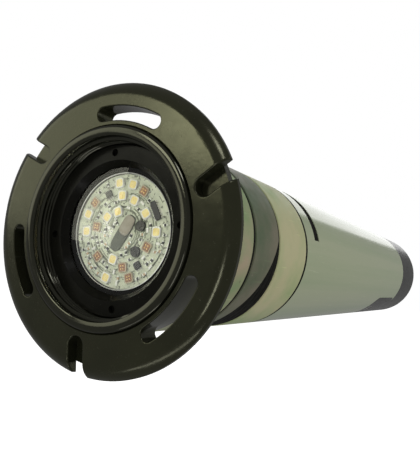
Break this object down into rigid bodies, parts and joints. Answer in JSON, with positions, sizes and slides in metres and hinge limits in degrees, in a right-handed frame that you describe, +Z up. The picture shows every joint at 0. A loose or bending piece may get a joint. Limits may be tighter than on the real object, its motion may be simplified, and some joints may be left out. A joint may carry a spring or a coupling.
{
  "type": "underwater pond light",
  "caption": "Tubular underwater light with a notched wall flange, recessed LED face behind a screwed lens ring, stacked body sections, an expanding wedge seal and a capped pipe body.",
  "frame": {"origin": "on the long axis, in the plane of the flange's back face, where the flange meets a wall", "axes": "+Y along the long axis from the lit face to the rear cap, +Z up with one arc slot at the top, +X to the right as seen from the front"},
  "size_m": [0.085, 0.3793, 0.085],
  "materials": {
    "flange_plastic": "glossy dark olive-black moulded plastic",
    "section_plastic": "satin grey-green moulded plastic",
    "sleeve_plastic": "satin olive-grey moulded plastic, darker than the other sections",
    "tube_plastic": "semi-gloss grey-green extruded pipe",
    "black_plastic": "semi-gloss black moulded plastic",
    "black_rubber": "black rubber seal",
    "white_plastic": "white low-friction plastic",
    "lens_glass": "clear polished lens",
    "white_board": "white solder-masked metal-core board",
    "white_led": "yellow phosphor in a white package",
    "colour_led": "clear-topped colour emitter package",
    "chip_grey": "dark grey moulded chip",
    "steel": "stainless steel",
    "thermal_pad": "soft grey-blue thermal pad",
    "aluminium": "machined aluminium",
    "green_board": "green solder-masked board",
    "capacitor_sleeve": "blue-black capacitor sleeve",
    "ferrite": "dark ferrite",
    "terminal_green": "green terminal housing",
    "wire_insulation": "coloured wire insulation"
  },
  "bodies": {
    "lamp": {"lamp_barrel": "flange_plastic", "wedge_seal": "black_rubber", "lens": "lens_glass", "spacer_ring": "black_plastic", "lens_gasket": "black_rubber", "led_board": "white_board", "white_leds": "white_led", "colour_leds": "colour_led", "regulator_chips": "black_plastic", "control_chip": "chip_grey", "board_screws": "steel", "thermal_pad": "thermal_pad", "heat_sink": "aluminium", "sink_screws": "steel", "coupling_collar": "section_plastic", "collar_gasket": "black_rubber", "body_tube": "tube_plastic", "barrel_plug": "black_plastic", "plug_o_rings": "black_rubber", "board_carriers": "black_plastic", "driver_board": "green_board", "filter_capacitors": "capacitor_sleeve", "power_inductor": "ferrite", "transformer": "ferrite", "bridge_rectifier": "black_plastic", "driver_chips": "black_plastic", "terminal_block": "terminal_green", "terminal_screws": "steel", "lead_wires": "wire_insulation", "rear_cap": "black_plastic", "cap_o_ring": "black_rubber", "cap_screw": "steel", "gland_body": "black_plastic", "gland_lock_nut": "black_plastic", "gland_seal": "black_rubber"},
    "sleeve": {"wedge_sleeve": "sleeve_plastic", "thrust_washer": "black_rubber"},
    "flange": {"face_flange": "flange_plastic", "neck": "section_plastic"},
    "washer": {"slip_washer": "white_plastic"},
    "ring": {"lens_ring": "black_plastic"},
    "clip": {"retaining_clip": "black_plastic"},
    "thrust_ring": {"gland_thrust_ring": "white_plastic"},
    "nut": {"gland_nut": "black_plastic"}
  },
  "joints": [
    {"name": "sleeve_slide", "type": "slide", "parent": "lamp", "child": "sleeve", "axis": [0, 1, 0], "range_m": [0, 0.00063], "deforming": ["wedge_seal"]},
    {"name": "flange_turn", "type": "hinge", "parent": "sleeve", "child": "flange", "pos_m": [0, 0, 0], "axis": [0, 1, 0], "range_deg": [0, 150]},
    {"name": "washer_slide", "type": "slide", "parent": "lamp", "child": "washer", "axis": [0, -1, 0], "range_m": [0, 0.006]},
    {"name": "lens_ring_turn", "type": "hinge", "parent": "washer", "child": "ring", "pos_m": [0, 0, 0], "axis": [0, -1, 0], "range_deg": [0, 1800]},
    {"name": "thrust_ring_slide", "type": "slide", "parent": "lamp", "child": "thrust_ring", "axis": [0, 1, 0], "range_m": [0, 0.006]},
    {"name": "gland_nut_turn", "type": "hinge", "parent": "thrust_ring", "child": "nut", "pos_m": [0, 0.3645, 0], "axis": [0, 1, 0], "range_deg": [0, 1440]},
    {"name": "clip_pull", "type": "slide", "parent": "lamp", "child": "clip", "axis": [0, 0, 1], "range_m": [0, 0.034]}
  ],
  "couplings": [
    {"joint": "sleeve_slide", "follows": "flange_turn", "m_per_rad": 0.00023873},
    {"joint": "washer_slide", "follows": "lens_ring_turn", "m_per_rad": 0.00019099},
    {"joint": "thrust_ring_slide", "follows": "gland_nut_turn", "m_per_rad": 0.00023873}
  ]
}
